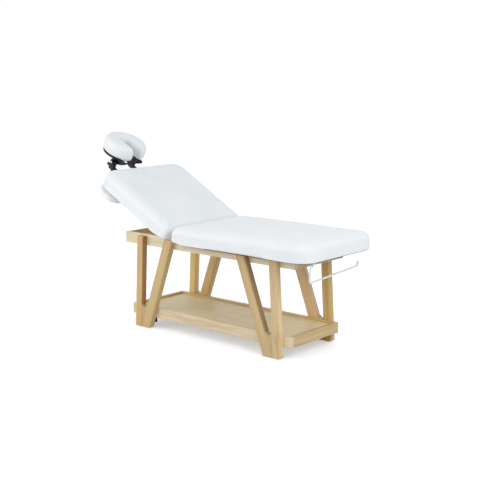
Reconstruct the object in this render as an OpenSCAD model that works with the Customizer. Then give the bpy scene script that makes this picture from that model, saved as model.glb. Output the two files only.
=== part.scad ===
// Wooden massage table with a lifting backrest, a face cradle and a lower shelf.
// Millimetres. +X runs to the foot end, -Y is the near long side, +Z is up.
// The origin is on the floor, under the middle of the table's overall length.

/* [Top frame] */
// Width over the outer faces of the long rails
frame_w = 480; // [420:5:560]
// Height of the top of the long rails above the floor
rail_top = 620; // [560:5:700]
// Height of a top rail
rail_h = 72; // [60:1:90]
// Thickness of a top rail
rail_t = 28; // [24:1:34]
// Distance from the leg centre to the head end of the frame
frame_head = 734; // [700:1:760]
// Distance from the leg centre to the foot end of the frame
frame_foot = 702; // [680:1:730]
// Rounding along the edges of the rails
rail_round = 4; // [2:1:6]
// Radius of the upright outer corners of the frame
frame_corner_r = 6; // [2:1:12]

/* [Legs] */
// Thickness of the leg timbers
leg_t = 44; // [36:1:48]
// Depth by which the legs are let over the rails
leg_let = 9; // [4:1:12]
// Width of an outer post, measured level
post_w = 60; // [52:1:66]
// Width of a slanting strut, measured level
strut_w = 77; // [68:1:86]
// Outer edge of the posts at rail height, from the leg centre
post_top_x = 588; // [560:1:600]
// Outer edge of the posts at the floor, from the leg centre
post_foot_x = 623; // [605:1:640]
// Inner edge of the struts at rail height, from the leg centre
strut_top_x = 259; // [230:1:300]
// Height of the bottom of the crotch between post and strut
crotch_z = 138; // [110:1:160]
// Rounding along the edges of the leg timbers
leg_round = 10; // [6:1:12]
// Radius of the outer corners of a leg at the floor
foot_round = 18; // [10:1:20]
// Gap between the top of a leg and the top of the rail beside it
leg_top_gap = 8; // [4:1:14]
// Diameter of a nylon glide under a leg
glide_d = 22; // [18:1:26]
// Thickness of a nylon glide
glide_t = 3; // [2:0.5:5]

/* [Shelf] */
// Height of the top of the shelf rails above the floor
shelf_top = 139; // [125:1:160]
// Height of a shelf rail
shelf_rail_h = 67; // [55:1:75]
// Distance from the leg centre to the head end of the shelf
shelf_head = 683; // [660:1:700]
// Distance from the leg centre to the foot end of the shelf
shelf_foot = 676; // [660:1:700]
// Radius of the upright outer corners of the shelf
shelf_corner_r = 14; // [6:1:20]
// Thickness of the shelf panel
shelf_panel_t = 12; // [9:1:16]
// Depth of the panel below the top of its rails
shelf_recess = 14; // [8:1:20]
// Width and height of the cleats that carry the panel
shelf_cleat = 18; // [14:1:20]

/* [Fixings] */
// Diameter of the frame bolts
bolt_d = 8; // [6:1:10]
// Diameter of a bolt head
bolt_head_d = 14; // [13:1:18]
// Depth of a bolt in the leg timber
bolt_grip = 20; // [15:1:24]
// Length of one leaf of a shelf bracket
bracket_leaf = 34; // [28:1:40]
// Thickness of the shelf brackets
bracket_t = 3; // [2:0.5:4]

/* [Cushions] */
// Width of both cushions
cushion_w = 718; // [660:2:760]
// Full thickness of a cushion with its board, at the crown
cushion_t = 106; // [90:1:120]
// Rise of the crown above the edge of the top
crown = 7; // [4:1:12]
// Radius of the upper edges
edge_r = 30; // [20:1:36]
// Distance that the sides draw in between the corners
side_draw = 5; // [2:1:8]
// Hinge end of the leg cushion, from the leg centre towards the head
leg_cushion_head = 211; // [200:1:211]
// Foot end of the leg cushion, from the leg centre
leg_cushion_foot = 866; // [820:2:900]
// Corner radius at the foot
foot_corner_r = 95; // [60:1:120]
// Corner radius at the hinge ends of both cushions
hinge_corner_r = 24; // [18:1:40]
// Thickness of the boards under the cushions
board_t = 15; // [12:1:18]
// Width of the upholstered rim outside a board
board_rim = 14; // [11:1:20]
// Depth by which the rims hang below the boards, away from the hinges
rim_drop = 8; // [3:1:9]

/* [Backrest] */
// Angle of the raised backrest above flat
back_angle = 29; // [20:0.5:29]
// Distance of the hinge axis from the leg centre, towards the head
hinge_x_from_centre = 257; // [257:1:290]
// Distance of the hinge axis below the top of the rails
hinge_depth = 6.7; // [6.5:0.1:8]
// Length of the backrest from the hinge axis
back_len = 704; // [660:2:740]
// Corner radius at the head end
head_corner_r = 80; // [60:1:110]
// Length of the face hole
face_hole_l = 216; // [190:2:230]
// Width of the face hole
face_hole_w = 152; // [130:2:170]
// Distance of the middle of the face hole from the head end
face_hole_from_head = 152; // [134:1:170]
// Width of the ledge that carries the plug of the face hole
plug_ledge = 8; // [6:1:12]
// Thickness of the plug's base
plug_base_t = 6; // [5:1:9]

/* [Hinges and stays] */
// Distance of each hinge from the middle
hinge_y = 150; // [110:5:160]
// Length of the middle knuckle of a hinge
knuckle_l = 30; // [24:2:40]
// Radius of the knuckles
knuckle_r = 6; // [5.5:0.1:6.2]
// Diameter of the hinge pins
pin_d = 6; // [5:0.5:7]
// Length of the hinge leaves
leaf_l = 55; // [40:1:60]
// Thickness of the hinge leaves and of the stays' feet
leaf_t = 2.5; // [2:0.5:3]
// Radius of the slotted stays about the hinge axis
stay_r = 150; // [135:1:165]
// Thickness of a stay
stay_t = 3; // [2.5:0.5:4]
// Width of the slot for the clamp screw
stay_slot = 8.6; // [8.5:0.1:9.5]
// Diameter of the clamp screw
stud_d = 8; // [6:1:8]
// Diameter of the clamp knob
knob_d = 44; // [36:1:50]
// Angle of the clamp screw below the hinge axis
stud_angle = 12; // [10:0.5:14]

/* [Face cradle] */
// Distance of a cradle post from the middle
cradle_post_y = 90; // [80:1:110]
// Diameter of the cradle posts
cradle_post_d = 20; // [16:1:22]
// Distance of the cradle's tilt axis beyond the head end of the backrest
cradle_pivot_out = 162; // [150:1:196]
// Height of the tilt axis above the plane of the hinge axis
cradle_pivot_h = 28; // [24:1:40]
// Angle by which the cradle hangs below the backrest's plane
cradle_drop = 3.5; // [0:0.5:8]
// Distance of the middle of the cradle cushion from the tilt axis
cradle_reach = 30; // [26:1:45]
// Height of the middle of the cradle cushion above the tilt axis
cradle_rise = 96; // [94:1:105]
// Length of the cradle cushion
cradle_l = 296; // [280:2:310]
// Width of the cradle cushion
cradle_w = 300; // [290:2:320]
// Width of the padded tube of the cradle cushion
cradle_pad_w = 104; // [90:1:106]
// Thickness of the cradle cushion
cradle_pad_t = 94; // [70:1:96]
// Thickness of the cradle platform
platform_t = 8; // [6:1:10]
// Diameter of the tilt axle
axle_d = 10; // [8:1:12]
// Length of the cam lever from the axle
lever_l = 64; // [45:1:64]

/* [Arm shelf] */
// Distance of the arm shelf's ends inside the sides of the cushion
arm_inset = 34; // [20:1:60]
// Depth of the arm shelf along the backrest
arm_l = 205; // [190:1:230]
// Thickness of the arm shelf with its board
arm_t = 50; // [44:1:60]
// Corner radius of the arm shelf
arm_corner_r = 80; // [40:1:90]
// Distance of the arm shelf's inner side from the head end of the backrest
arm_from_head = 162; // [144:1:174]
// Distance of the middle of a runner inside the side of the cushion
runner_inset = 97; // [90:1:130]
// Width of a runner
runner_w = 24; // [20:1:30]
// Height of a runner
runner_h = 38; // [36:1:40]
// Wall of a runner
runner_wall = 2.5; // [2:0.5:3]

/* [Paper roll holder] */
// Distance of the swivel from the leg centre
roll_x = 838; // [800:1:838]
// Distance of the swivel from the middle, towards the near side
roll_y = 246; // [230:1:270]
// Diameter of the rod
rod_d = 12; // [8:0.5:13]
// Reach of the rod from its swivel to its upright part
rod_stub = 34; // [28:1:40]
// Height of the upright part of the rod
rod_leg_h = 90; // [75:1:110]
// Length of the bar that carries the roll
rod_bar = 592; // [520:2:600]
// Height of the upturned end
rod_upturn = 29; // [24:1:45]
// Angle by which the rod is swung in under the table
rod_swing = 8; // [0:1:20]

/* [Hidden] */
$fn = 48;

// Colours
beech = [0.83, 0.68, 0.47];
tray_wood = [0.76, 0.66, 0.51];
white_hide = [0.93, 0.94, 0.95];
black_paint = [0.06, 0.06, 0.07];
zinc = [0.62, 0.63, 0.65];
white_paint = [0.92, 0.92, 0.92];
plywood = [0.78, 0.66, 0.48];

// Clearances
seat_gap = 0.3;
run_gap = 0.05;
bolt_gap = 0.2;

// Frame
frame_y = frame_w / 2;
rail_inner_y = frame_y - rail_t;
rail_mid_z = rail_top - rail_h / 2;
shelf_mid_z = shelf_top - shelf_rail_h / 2;
shelf_bottom = shelf_top - shelf_rail_h;

// Legs: both edges of a timber are straight lines from the floor to the rail
post_lean = atan((post_foot_x - post_top_x) / rail_top);
strut_foot_x = post_foot_x - post_w - strut_w;
strut_lean = atan((strut_foot_x - strut_top_x) / rail_top);
leg_top = rail_top - leg_top_gap;
leg_in = frame_y - leg_let;
leg_out = leg_in + leg_t;
function post_out(z) = post_foot_x - z * tan(post_lean);
function post_in(z) = post_out(z) - post_w;
function strut_in(z) = strut_foot_x - z * tan(strut_lean);
function strut_out(z) = strut_in(z) + strut_w;

// The face hole's plug
plug_gap = 1.2;
oval_n = 40;

// Backrest: its parts are drawn flat about the hinge axis, with the head towards -X
hinge_x = -hinge_x_from_centre;
hinge_z = rail_top - hinge_depth;
back_bottom = hinge_depth + seat_gap;
back_gap = 4;
board_top = back_bottom + board_t;
face_hole_at = back_len - face_hole_from_head;
cradle_pivot_l = back_len + cradle_pivot_out;
arm_at = back_len - arm_from_head;
arm_w = cushion_w - 2 * arm_inset;
runner_y = cushion_w / 2 - runner_inset;

// Steps round a corner, the same for a cushion and the board in its pocket
corner_n = 5;

// Face cradle
post_h = back_bottom - 21;
block_l = 95;
block_h = 42;
block_end = back_len - board_rim - 2;
block_overhang = 60;
cradle_end = cradle_reach + cradle_l / 2;

// Overall length, used to put the origin under its middle
cradle_far_l = cradle_pivot_l + cradle_end * cos(cradle_drop) + cradle_rise * sin(cradle_drop);
cradle_far_h = cradle_pivot_h + cradle_rise * cos(cradle_drop) - cradle_end * sin(cradle_drop);
head_reach = hinge_x - cradle_far_l * cos(back_angle) + cradle_far_h * sin(back_angle);
origin_x = (leg_cushion_foot + head_reach) / 2;

// Helpers

module on_floor() {
    translate([-origin_x, 0, 0])
        children();
}

module on_back() {
    on_floor()
        translate([hinge_x, 0, hinge_z])
            rotate([0, back_angle, 0])
                children();
}

module on_cradle() {
    on_back()
        translate([-cradle_pivot_l, 0, cradle_pivot_h])
            rotate([0, -cradle_drop, 0])
                children();
}

module block(x, y, z) {
    translate([x[0], y[0], z[0]])
        cube([x[1] - x[0], y[1] - y[0], z[1] - z[0]]);
}

module rounded_rect(w, h, r) {
    translate([r, 0])
        square([w - 2 * r, h]);
    translate([0, r])
        square([w, h - 2 * r]);
    for (x = [r, w - r])
        for (y = [r, h - r])
            translate([x, y])
                circle(r = r);
}

// A rounded bar along X
module bar_x(x, y, z, r) {
    translate([x[0], y[0], z[0]])
        rotate([90, 0, 90])
            linear_extrude(x[1] - x[0])
                rounded_rect(y[1] - y[0], z[1] - z[0], r);
}

// A rounded bar along Y
module bar_y(x, y, z, r) {
    translate([x[0], y[1], z[0]])
        rotate([90, 0, 0])
            linear_extrude(y[1] - y[0])
                rounded_rect(x[1] - x[0], z[1] - z[0], r);
}

// What is cut from a near rail to round its upright outer corner at x; end is the side it lies on
module rail_corner(x, end, r, z) {
    translate([x - end * r, -frame_y + r, z[0] - 1])
        difference() {
            translate([end > 0 ? 0 : -r - 1, -r - 1, 0])
                cube([r + 1, r + 1, z[1] - z[0] + 2]);
            translate([0, 0, -1])
                cylinder(r = r, h = z[1] - z[0] + 4);
        }
}

// A cylinder along Y between two y values
module pin_y(x, z, y, r) {
    translate([x, y[1], z])
        rotate([90, 0, 0])
            cylinder(r = r, h = y[1] - y[0]);
}

module near_or_far(side) {
    mirror([0, side > 0 ? 1 : 0, 0])
        children();
}

// Frame bolts: [x, z] of each bolt of one leg
bolts = [
    [(post_in(rail_mid_z) + post_out(rail_mid_z)) / 2, rail_mid_z],
    [(strut_in(rail_mid_z) + strut_out(rail_mid_z)) / 2, rail_mid_z],
    [(post_in(shelf_mid_z) + post_out(shelf_mid_z)) / 2, shelf_mid_z],
    [(strut_in(shelf_mid_z) + strut_out(shelf_mid_z)) / 2, shelf_mid_z]
];

module bolt_holes() {
    for (end = [-1, 1])
        for (b = bolts)
            pin_y(end * b[0], b[1], [-frame_y - bolt_grip - 1, -rail_inner_y + 1],
                bolt_d / 2 + bolt_gap);
}

// Top frame

module side_rail(side) {
    color(beech)
        on_floor()
            near_or_far(side)
                difference() {
                    bar_x([-frame_head, frame_foot], [-frame_y, -rail_inner_y],
                        [rail_top - rail_h, rail_top], rail_round);
                    bolt_holes();
                    rail_corner(-frame_head, -1, frame_corner_r, [rail_top - rail_h, rail_top]);
                    rail_corner(frame_foot, 1, frame_corner_r, [rail_top - rail_h, rail_top]);
                    pin_y(stud_x, stud_z, [-rail_inner_y - stud_depth - 1, -rail_inner_y + 1],
                        stud_d / 2 + run_gap);
                }
}

module cross_rail(x) {
    color(beech)
        on_floor()
            bar_y([x, x + rail_t], [-rail_inner_y, rail_inner_y], [rail_top - rail_h, rail_top], rail_round);
}

module head_rail() {
    cross_rail(-frame_head);
}

module foot_rail() {
    cross_rail(frame_foot - rail_t);
}

module hinge_rail() {
    cross_rail(hinge_x + knuckle_r + 1);
}

module middle_rail() {
    cross_rail(strut_top_x - rail_t);
}

// Legs

module leg_place(end, side) {
    on_floor()
        mirror([end < 0 ? 1 : 0, 0, 0])
            near_or_far(side)
                children();
}

// A timber from the floor up, leaning in from x by an angle, cut level at both ends.
// grow makes it thicker all round, to cut room for it in what stands beside it.
module leg_timber(x, lean, w, from_edge, grow) {
    intersection() {
        translate([x, -leg_out - grow, 0])
            rotate([0, -lean, 0])
                translate([from_edge * w * cos(lean) - grow, 0, -leg_t * 4])
                    linear_extrude(rail_top / cos(lean) + leg_t * 8)
                        rounded_rect(w * cos(lean) + 2 * grow, leg_t + 2 * grow, leg_round + grow);
        block([0, post_foot_x + leg_t], [-leg_out - 1, -leg_in + 1], [glide_t - grow, leg_top]);
    }
}

// What is cut from a leg where the long rails pass
module rail_housings() {
    for (z = [[rail_top - rail_h, rail_top], [shelf_bottom, shelf_top]])
        block([0, post_foot_x + leg_t], [-frame_y, -leg_in + 1], z);
}

// What is cut to round a corner at the floor: the round's middle, the height of its end, its side
module foot_corner(x, z, end, side) {
    translate([0, -leg_in + 1, 0])
        rotate([90, 0, 0])
            linear_extrude(leg_t + 2)
                difference() {
                    translate([side > 0 ? x : x - 3 * foot_round, 0])
                        square([3 * foot_round, end]);
                    translate([x, z])
                        circle(r = foot_round);
                }
}

module post(end, side) {
    z = glide_t + foot_round;
    color(beech)
        leg_place(end, side)
            difference() {
                leg_timber(post_foot_x, post_lean, post_w, -1, 0);
                bolt_holes();
                rail_housings();
                foot_corner(post_out(z) - foot_round / cos(post_lean), z,
                    z + foot_round * sin(post_lean), 1);
            }
}

module strut(end, side) {
    z = glide_t + foot_round;
    color(beech)
        leg_place(end, side)
            difference() {
                leg_timber(strut_foot_x, strut_lean, strut_w, 0, 0);
                bolt_holes();
                rail_housings();
                foot_corner(strut_in(z) + foot_round / cos(strut_lean), z,
                    z - foot_round * sin(strut_lean), -1);
            }
}

// The infill between a post and its strut, shaped to their rounded edges, with a round crotch on top
module leg_web() {
    web_step = 1;
    gap = post_in(crotch_z) - strut_out(crotch_z);
    widening = (tan(strut_lean) - tan(post_lean)) / 2;
    crotch_r = gap / 2 / (1 - widening) + 2;
    top = crotch_z + crotch_r / 2;
    difference() {
        translate([0, -frame_y, 0])
            rotate([90, 0, 0])
                linear_extrude(leg_out - web_step - frame_y)
                    difference() {
                        polygon([
                            [strut_out(glide_t) - leg_round, glide_t],
                            [post_in(glide_t) + leg_round, glide_t],
                            [post_in(top) + leg_round, top],
                            [strut_out(top) - leg_round, top]
                        ]);
                        translate([(post_in(top) + strut_out(top)) / 2, crotch_z + crotch_r])
                            circle(r = crotch_r);
                    }
        leg_timber(post_foot_x, post_lean, post_w, -1, seat_gap);
        leg_timber(strut_foot_x, strut_lean, strut_w, 0, seat_gap);
    }
}

module leg_webs() {
    color(beech)
        for (end = [-1, 1])
            for (side = [-1, 1])
                leg_place(end, side)
                    leg_web();
}

module foot_glides() {
    color(white_paint)
        for (end = [-1, 1])
            for (side = [-1, 1])
                leg_place(end, side)
                    for (x = [post_foot_x - post_w / 2, strut_foot_x + strut_w / 2])
                        translate([x, -leg_out + leg_t / 2, 0])
                            cylinder(d = glide_d, h = glide_t);
}

// Shelf

module shelf_side_rail(side) {
    color(beech)
        on_floor()
            near_or_far(side)
                difference() {
                    bar_x([-shelf_head, shelf_foot], [-frame_y, -rail_inner_y],
                        [shelf_bottom, shelf_top], rail_round);
                    bolt_holes();
                    rail_corner(-shelf_head, -1, shelf_corner_r, [shelf_bottom, shelf_top]);
                    rail_corner(shelf_foot, 1, shelf_corner_r, [shelf_bottom, shelf_top]);
                }
}

module shelf_end_rail(x) {
    color(beech)
        on_floor()
            bar_y([x, x + rail_t], [-rail_inner_y, rail_inner_y], [shelf_bottom, shelf_top], rail_round);
}

module shelf_panel() {
    color(tray_wood)
        on_floor()
            block([-shelf_head + rail_t, shelf_foot - rail_t], [-rail_inner_y, rail_inner_y],
                [shelf_top - shelf_recess - shelf_panel_t, shelf_top - shelf_recess]);
}

module shelf_cleats() {
    z = shelf_top - shelf_recess - shelf_panel_t;
    color(plywood)
        on_floor()
            for (side = [-1, 1])
                near_or_far(side)
                    difference() {
                        block([-shelf_head + rail_t + shelf_cleat, shelf_foot - rail_t - shelf_cleat],
                            [-rail_inner_y, -rail_inner_y + shelf_cleat], [z - shelf_cleat, z]);
                        for (end = [-1, 1])
                            for (b = bolts)
                                pin_y(end * b[0], b[1],
                                    [-rail_inner_y - 1, -rail_inner_y + shelf_cleat + 1],
                                    bolt_head_d / 2 + 1);
                    }
}

// Black angle brackets in the corner between a shelf rail and the inside of a strut
module shelf_brackets() {
    x = strut_in(shelf_bottom - bracket_leaf) - 13;
    color(black_paint)
        for (end = [-1, 1])
            for (side = [-1, 1])
                leg_place(end, side) {
                    block([x, x + bracket_leaf], [-leg_in, -leg_in + bracket_t],
                        [shelf_bottom - bracket_leaf, shelf_bottom]);
                    block([x, x + bracket_leaf], [-leg_in, -rail_inner_y],
                        [shelf_bottom - bracket_t, shelf_bottom]);
                }
}

module frame_bolts() {
    color(zinc)
        for (end = [-1, 1])
            for (side = [-1, 1])
                leg_place(end, side)
                    for (b = bolts) {
                        pin_y(b[0], b[1], [-frame_y - bolt_grip, -rail_inner_y + 1], bolt_d / 2);
                        pin_y(b[0], b[1], [-rail_inner_y, -rail_inner_y + 5], bolt_head_d / 2);
                    }
}

// Cushion outline, counter-clockwise from the near corner at the high X end.
// arc_n and side_n are the steps round a corner and along a side.
function corner(cx, cy, r, start, arc_n) =
    [for (i = [0 : arc_n]) [cx + r * cos(start + 90 * i / arc_n), cy + r * sin(start + 90 * i / arc_n)]];

function between(p, q, n, draw) =
    let (d = q - p, inward = [-d[1], d[0]] / norm(d))
    [for (i = [1 : n - 1]) p + d * i / n + inward * draw * sin(180 * i / n)];

function outline(x, w, r, inset, draw, arc_n, side_n) =
    let (
        low = x[0] + inset, high = x[1] - inset, y = w / 2 - inset,
        r0 = max(r[0] - inset, 2), r1 = max(r[1] - inset, 2),
        a = corner(high - r1, -y + r1, r1, -90, arc_n),
        b = corner(high - r1, y - r1, r1, 0, arc_n),
        c = corner(low + r0, y - r0, r0, 90, arc_n),
        e = corner(low + r0, -y + r0, r0, 180, arc_n)
    )
    concat(
        a, between(a[arc_n], b[0], side_n[1], draw),
        b, between(b[arc_n], c[0], side_n[0], draw),
        c, between(c[arc_n], e[0], side_n[1], draw),
        e, between(e[arc_n], a[0], side_n[0], draw)
    );

function lift(points, z) = [for (p = points) [p[0], p[1], z]];

// Rounded upper edge: [inset, height below the shoulder] pairs
function edge_steps(r, n) = [for (i = [0 : n]) [r - r * cos(90 * i / n), r - r * sin(90 * i / n)]];

// How far the rim hangs at p: hang is [depth, hinge end, direction away from it, half width kept level]
function hang_at(p, hang) =
    hang[0] * min(1, max(0, ((p[0] - hang[1]) * hang[2] - 30) / 80))
        * min(1, max(0, (abs(p[1]) - hang[3]) / 40));

// Rings from the pocket of the board, round the rim and up the sides to the shoulder
function side_rings(x, w, r, z, t, r_edge, rim, pocket, draw, arc_n, side_n, hang) =
    let (
        rise = t - r_edge,
        plan = concat(
            [[rim, pocket, 0, 0], [rim, 0, 0, 1], [4, 0, 0, 1]],
            [[0, 6, draw / 2, 1], [0, rise * 0.55, draw, 0]],
            [for (s = edge_steps(r_edge, 4)) [s[0], t - s[1], draw * (1 - s[0] / r_edge), 0]]
        )
    )
    [for (s = plan)
        [for (p = outline(x, w, r, s[0], s[2], arc_n, side_n))
            [p[0], p[1], z + s[1] - s[3] * hang_at(p, hang)]]];

function crown_at(p, x, w, rise) =
    let (u = (2 * p[0] - x[0] - x[1]) / (x[1] - x[0]), v = 2 * p[1] / w)
    rise * max(0, 1 - u * u * u * u) * max(0, 1 - v * v);

// Oval ring of n points; lead turns it so that it lines up with an outline's first point
function oval(cx, l, w, n, lead) =
    [for (i = [0 : n - 1]) let (a = 360 * (i - lead) / n) [cx + l / 2 * cos(a), w / 2 * sin(a)]];

// Triangles between rings of n points each; a closed body joins the last ring to the first
function ring_faces(n, rings, closed) =
    [for (j = [0 : rings - (closed ? 1 : 2)]) for (i = [0 : n - 1])
        let (k = (i + 1) % n, m = (j + 1) % rings)
        each [[j * n + i, m * n + i, m * n + k], [j * n + i, m * n + k, j * n + k]]];

function fan(first, n, tip, up) =
    [for (i = [0 : n - 1]) let (k = (i + 1) % n)
        up ? [first + i, tip, first + k] : [tip, first + i, first + k]];

// A solid from rings, with a fan to a tip at each end
module capped(rings, low_tip, high_tip) {
    n = len(rings[0]);
    m = len(rings);
    points = concat([for (r = rings) each r], [low_tip, high_tip]);
    polyhedron(points, concat(
        ring_faces(n, m, false),
        fan(0, n, n * m, false),
        fan(n * (m - 1), n, n * m + 1, true)
    ));
}

// A solid from rings that close on themselves, with a hole through the middle
module looped(rings) {
    n = len(rings[0]);
    m = len(rings);
    polyhedron([for (r = rings) each r], ring_faces(n, m, true));
}

// Padded block with a crowned top, over a pocket for its board
module pad(x, w, r, z, t, crown_h, r_edge, rim, pocket, draw, arc_n, side_n, hang) {
    sides = side_rings(x, w, r, z, t - crown_h, r_edge, rim, pocket, draw, arc_n, side_n, hang);
    shoulder_ring = sides[len(sides) - 1];
    mid = (x[0] + x[1]) / 2;
    tops = [for (s = [0.86, 0.62, 0.34])
        [for (p = shoulder_ring)
            let (q = [mid + (p[0] - mid) * s, p[1] * s])
            [q[0], q[1], z + t - crown_h + crown_at(q, x, w, crown_h)]]];
    capped(concat(sides, tops), [mid, 0, z + pocket], [mid, 0, z + t]);
}

// Padded block with an oval hole through it
module pad_with_hole(x, w, r, z, t, crown_h, r_edge, rim, pocket, draw,
    hole_x, hole_l, hole_w, arc_n, side_n, hang) {
    sides = side_rings(x, w, r, z, t - crown_h, r_edge, rim, pocket, draw, arc_n, side_n, hang);
    shoulder_ring = sides[len(sides) - 1];
    lip = 12;
    n = len(shoulder_ring);
    lead = arc_n + side_n[1] / 2;
    mouth = oval(hole_x, hole_l + 2 * lip, hole_w + 2 * lip, n, lead);
    wall = oval(hole_x, hole_l, hole_w, n, lead);
    tops = [for (s = [0.25, 0.6, 1])
        [for (i = [0 : n - 1])
            let (p = shoulder_ring[i], q = [p[0] + (mouth[i][0] - p[0]) * s, p[1] + (mouth[i][1] - p[1]) * s])
            [q[0], q[1], z + t - crown_h + crown_at(q, x, w, crown_h)]]];
    lips = [for (a = [45, 90])
        [for (i = [0 : n - 1])
            let (s = sin(a), q = mouth[i] + (wall[i] - mouth[i]) * s)
            [q[0], q[1], z + t - crown_h + crown_at(q, x, w, crown_h) - lip * (1 - cos(a))]]];
    looped(concat(sides, tops, lips, [lift(wall, z + pocket)]));
}

// Leg section

module leg_board() {
    color(plywood)
        on_floor()
            translate([0, 0, rail_top])
                linear_extrude(board_t)
                    polygon(outline([-leg_cushion_head + board_rim, leg_cushion_foot - board_rim],
                        cushion_w - 2 * board_rim, [hinge_corner_r - board_rim, foot_corner_r - board_rim],
                        0, 0, corner_n, [1, 1]));
}

module leg_cushion() {
    color(white_hide)
        on_floor()
            pad([-leg_cushion_head, leg_cushion_foot], cushion_w, [hinge_corner_r, foot_corner_r],
                rail_top + seat_gap, cushion_t, crown, edge_r, board_rim - seat_gap, board_t,
                side_draw, corner_n, [9, 5], [rim_drop, -leg_cushion_head, 1, -cushion_w]);
}

// Hinges

module hinge_leaves_fixed() {
    side_l = knuckle_l / 2;
    color(zinc)
        on_floor()
            for (y = [-hinge_y, hinge_y])
                difference() {
                    union() {
                        for (s = [-1, 1])
                            pin_y(hinge_x, hinge_z, [
                                y + s * (knuckle_l / 2 + seat_gap + side_l / 2) - side_l / 2,
                                y + s * (knuckle_l / 2 + seat_gap + side_l / 2) + side_l / 2
                            ], knuckle_r);
                        for (s = [-1, 1])
                            block([hinge_x + knuckle_r + 1 - leaf_t, hinge_x + knuckle_r + 1],
                                [y + s * (knuckle_l / 2 + seat_gap + side_l / 2) - side_l / 2,
                                    y + s * (knuckle_l / 2 + seat_gap + side_l / 2) + side_l / 2],
                                [hinge_z - leaf_l, hinge_z]);
                        block([hinge_x + knuckle_r + 1 - leaf_t, hinge_x + knuckle_r + 1],
                            [y - knuckle_l, y + knuckle_l],
                            [hinge_z - leaf_l, hinge_z - knuckle_r - 4]);
                    }
                    pin_y(hinge_x, hinge_z, [y - knuckle_l * 2, y + knuckle_l * 2], pin_d / 2 + run_gap);
                }
}

module hinge_leaves_moving() {
    color(zinc)
        on_back()
            for (y = [-hinge_y, hinge_y])
                difference() {
                    union() {
                        pin_y(0, 0, [y - knuckle_l / 2, y + knuckle_l / 2], knuckle_r);
                        block([-knuckle_r - 6, 0], [y - knuckle_l / 2, y + knuckle_l / 2],
                            [back_bottom - leaf_t, back_bottom]);
                        block([-leaf_l - knuckle_r, -knuckle_r - 4], [y - knuckle_l, y + knuckle_l],
                            [back_bottom - leaf_t, back_bottom]);
                    }
                    pin_y(0, 0, [y - knuckle_l, y + knuckle_l], pin_d / 2 + run_gap);
                }
}

module hinge_pins() {
    half = knuckle_l + seat_gap + 1;
    color(zinc)
        on_floor()
            for (y = [-hinge_y, hinge_y]) {
                pin_y(hinge_x, hinge_z, [y - half, y + half], pin_d / 2);
                for (s = [-1, 1])
                    pin_y(hinge_x, hinge_z, [y + s * (half + 1) - 1, y + s * (half + 1) + 1], knuckle_r - 1);
            }
}

// Backrest

module back_board() {
    color(plywood)
        on_back()
            translate([0, 0, back_bottom])
                linear_extrude(board_t)
                    difference() {
                        polygon(outline([-back_len + board_rim, -back_gap - board_rim],
                            cushion_w - 2 * board_rim,
                            [head_corner_r - board_rim, hinge_corner_r - board_rim],
                            0, 0, corner_n, [1, 1]));
                        polygon(oval(-face_hole_at, face_hole_l - 2 * plug_ledge,
                            face_hole_w - 2 * plug_ledge, oval_n, 0));
                    }
}

module back_cushion() {
    color(white_hide)
        on_back()
            pad_with_hole([-back_len, -back_gap], cushion_w, [head_corner_r, hinge_corner_r],
                back_bottom + seat_gap, cushion_t, crown, edge_r, board_rim - seat_gap, board_t,
                side_draw, -face_hole_at, face_hole_l, face_hole_w, corner_n, [9, 5],
                [rim_drop, -back_gap, -1, runner_y + runner_w / 2 + 3]);
}

module face_plug_base() {
    color(plywood)
        on_back()
            translate([0, 0, board_top + seat_gap])
                linear_extrude(plug_base_t)
                    polygon(oval(-face_hole_at, face_hole_l - 2 * plug_gap,
                        face_hole_w - 2 * plug_gap, oval_n, 0));
}

// The plug's pad fills the hole up to the cushion's own crown
module face_plug_cushion() {
    floor_z = board_top + seat_gap + plug_base_t;
    top = back_bottom + seat_gap + cushion_t;
    plan = [[1.5, floor_z], [0, floor_z + 4], [0, top - 20], [2, top - 12], [7, top - 6], [16, top - 3]];
    base = oval(0, 2, 2, oval_n, 0);
    color(white_hide)
        on_back()
            capped([for (s = plan)
                [for (p = base) [
                    -face_hole_at + p[0] * (face_hole_l / 2 - plug_gap - s[0]),
                    p[1] * (face_hole_w / 2 - plug_gap - s[0]),
                    s[1]
                ]]], [-face_hole_at, 0, floor_z], [-face_hole_at, 0, top]);
}

// Slotted stays: an arc about the hinge axis, clamped to the side rail by a knob
stud_depth = 20;
stud_x = hinge_x - stay_r * cos(stud_angle);
stud_z = hinge_z - stay_r * sin(stud_angle);
washer_t = 2.2;
stay_y = rail_inner_y - washer_t - seat_gap;
stay_rim = 12;
slot_from = stud_angle - 2.2;
slot_to = stud_angle + back_angle + 3 + 2.2;
stay_from = slot_from - 3;
stay_to = slot_to + 3;

// A pie slice below the board's plane, between two angles about the hinge axis
module sector(from, to) {
    polygon(concat([[0, 0]], [for (i = [0 : 8])
        let (a = from + (to - from) * i / 8) [-cos(a), -sin(a)] * stay_r * 1.6]));
}

module stay(side) {
    foot_l = [stay_r - 40, stay_r + 30];
    color(zinc)
        on_back()
            near_or_far(side) {
                translate([0, -stay_y + stay_t, 0])
                    rotate([90, 0, 0])
                        linear_extrude(stay_t)
                            difference() {
                                union() {
                                    intersection() {
                                        difference() {
                                            circle(r = stay_r + stay_rim, $fn = 96);
                                            circle(r = stay_r - stay_rim, $fn = 96);
                                        }
                                        sector(stay_from, stay_to);
                                    }
                                    polygon([
                                        [-foot_l[1], back_bottom],
                                        [-foot_l[0], back_bottom],
                                        [-stay_r * cos(stay_from) + stay_rim, -stay_r * sin(stay_from) - 4],
                                        [-stay_r * cos(stay_from) - stay_rim, -stay_r * sin(stay_from) - 4]
                                    ]);
                                }
                                intersection() {
                                    difference() {
                                        circle(r = stay_r + stay_slot / 2, $fn = 96);
                                        circle(r = stay_r - stay_slot / 2, $fn = 96);
                                    }
                                    sector(slot_from, slot_to);
                                }
                            }
                block([-foot_l[1], -foot_l[0]], [-stay_y, -stay_y + 28], [back_bottom - leaf_t, back_bottom]);
            }
}

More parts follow.
